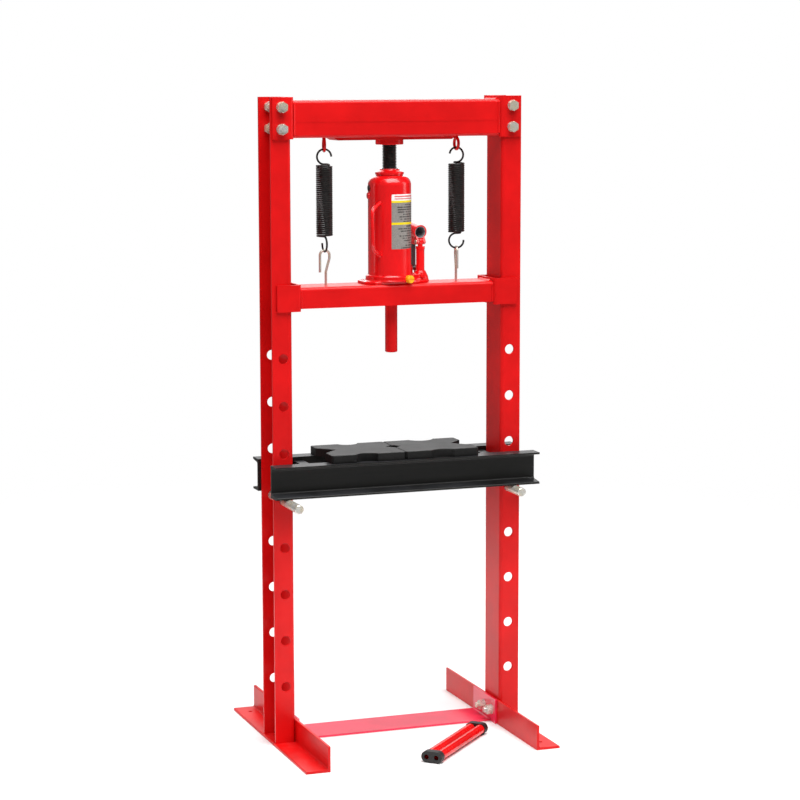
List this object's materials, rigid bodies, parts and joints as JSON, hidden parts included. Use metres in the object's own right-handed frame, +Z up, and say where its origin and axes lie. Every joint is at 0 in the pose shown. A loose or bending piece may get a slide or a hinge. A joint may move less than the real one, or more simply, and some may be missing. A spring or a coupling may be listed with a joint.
{
  "type": "hydraulic shop press",
  "caption": "Upright H-frame shop press: channel uprights, spring-returned slide beam carrying a bottle jack with a hand pump, and a pinned bed with notched arbor plates.",
  "frame": {"origin": "on the floor, midway between the two uprights and midway along the feet, on the underside of the strap that joins the feet", "axes": "+Z up, +X to the right of someone working the press, who stands on the -Y side"},
  "size_m": [0.566, 0.5259, 1.3],
  "materials": {
    "red_paint": "gloss enamel over rolled steel",
    "brace_paint": "gloss enamel on flat strap",
    "jack_paint": "wet-look gloss enamel over castings and a drawn shell",
    "zinc": "bright zinc plate",
    "black_steel": "oiled black oxide",
    "black_paint": "semi-gloss black enamel",
    "polished_steel": "ground and polished",
    "grey_steel": "plain rolled bar",
    "black_rubber": "matte",
    "grip_rubber": "moulded, slightly shiny",
    "tube_paint": "gloss enamel",
    "label_film": "printed film",
    "orange_paint": "gloss enamel"
  },
  "bodies": {
    "frame": {"left_upright": "red_paint", "right_upright": "red_paint", "left_foot": "red_paint", "right_foot": "red_paint", "left_crown_bracket": "red_paint", "right_crown_bracket": "red_paint", "crown_beam": "red_paint", "crown_welds": "red_paint", "crown_stiffener": "red_paint", "jack_head_socket": "red_paint", "spring_eyes": "red_paint", "crown_bolts": "zinc", "crown_nuts": "zinc", "crown_washers": "zinc", "cross_brace": "brace_paint", "brace_bolts": "zinc", "brace_nuts": "zinc", "left_spring": "black_steel", "right_spring": "black_steel"},
    "carriage": {"slide_beam": "red_paint", "left_slide_guide": "red_paint", "right_slide_guide": "red_paint", "slide_welds": "red_paint", "press_rod": "red_paint", "spring_hooks": "zinc", "spring_hook_nuts": "zinc", "jack_base": "jack_paint", "jack_tank": "jack_paint", "jack_cylinder": "polished_steel", "jack_top_nut": "jack_paint", "gland_seal": "black_rubber", "filler_plug": "black_rubber", "level_plug": "jack_paint", "carry_handle": "jack_paint", "tank_label": "label_film", "pump_cylinder": "jack_paint", "pump_link": "grey_steel", "link_pins": "zinc", "overload_valve": "zinc", "valve_balls": "polished_steel"},
    "ram": {"jack_ram": "polished_steel", "ram_seal": "black_rubber"},
    "screw": {"extension_screw": "black_steel"},
    "pump_lever": {"handle_socket": "jack_paint", "socket_pin": "zinc"},
    "plunger": {"pump_plunger": "jack_paint", "plunger_seal": "black_rubber"},
    "release_screw": {"release_valve": "orange_paint"},
    "bed": {"front_bed_channel": "black_paint", "rear_bed_channel": "black_paint", "bed_spacers": "black_paint"},
    "left_plate": {"left_arbor_plate": "black_paint"},
    "right_plate": {"right_arbor_plate": "black_paint"},
    "left_pin": {"left_bed_pin": "zinc"},
    "right_pin": {"right_bed_pin": "zinc"},
    "handle_pair": {"far_handle_cap": "grip_rubber", "rear_handle_tube": "tube_paint"},
    "handle_tube": {"front_handle_tube": "tube_paint"},
    "handle_cap": {"near_handle_cap": "grip_rubber"}
  },
  "joints": [
    {"name": "carriage_slide", "type": "slide", "parent": "frame", "child": "carriage", "axis": [0, 0, -1], "range_m": [0, 0.15], "stiffness_N_per_m": 2600, "springref_m": -0.08, "deforming": ["left_spring", "right_spring"]},
    {"name": "ram_slide", "type": "slide", "parent": "carriage", "child": "ram", "axis": [0, 0, 1], "range_m": [0, 0.15]},
    {"name": "screw_slide", "type": "slide", "parent": "ram", "child": "screw", "axis": [0, 0, -1], "range_m": [0, 0.044]},
    {"name": "pump_lever_hinge", "type": "hinge", "parent": "carriage", "child": "pump_lever", "pos_m": [0.05981, 0.03286, 1.008], "axis": [-0.9959, -0.0906, 0], "range_deg": [-4, 24]},
    {"name": "plunger_slide", "type": "slide", "parent": "carriage", "child": "plunger", "axis": [0, 0, 1], "range_m": [-0.004, 0.016]},
    {"name": "release_turn", "type": "hinge", "parent": "carriage", "child": "release_screw", "pos_m": [0.0245, -0.0435, 0.936], "axis": [0.2419, -0.9703, 0], "range_deg": [0, 540]},
    {"name": "bed_lift", "type": "slide", "parent": "frame", "child": "bed", "axis": [0, 0, 1], "range_m": [0, 0.025]},
    {"name": "left_plate_lift", "type": "slide", "parent": "bed", "child": "left_plate", "axis": [0, 0, 1], "range_m": [0, 0.018]},
    {"name": "right_plate_lift", "type": "slide", "parent": "bed", "child": "right_plate", "axis": [0, 0, 1], "range_m": [0, 0.018]},
    {"name": "left_pin_pull", "type": "slide", "parent": "frame", "child": "left_pin", "axis": [0, -1, 0], "range_m": [0, 0.16]},
    {"name": "right_pin_pull", "type": "slide", "parent": "frame", "child": "right_pin", "axis": [0, -1, 0], "range_m": [0, 0.19]},
    {"name": "handle_lift", "type": "slide", "parent": "frame", "child": "handle_pair", "axis": [0, 0, 1], "range_m": [0, 0.25]},
    {"name": "handle_tube_draw", "type": "slide", "parent": "handle_pair", "child": "handle_tube", "axis": [-0.6997, -0.7145, 0], "range_m": [0, 0.2]},
    {"name": "handle_cap_pull", "type": "slide", "parent": "handle_tube", "child": "handle_cap", "axis": [-0.6997, -0.7145, 0], "range_m": [0, 0.03]}
  ],
  "couplings": [
    {"joint": "ram_slide", "follows": "carriage_slide", "ratio": 1},
    {"joint": "plunger_slide", "follows": "pump_lever_hinge", "m_per_rad": 0.033}
  ]
}
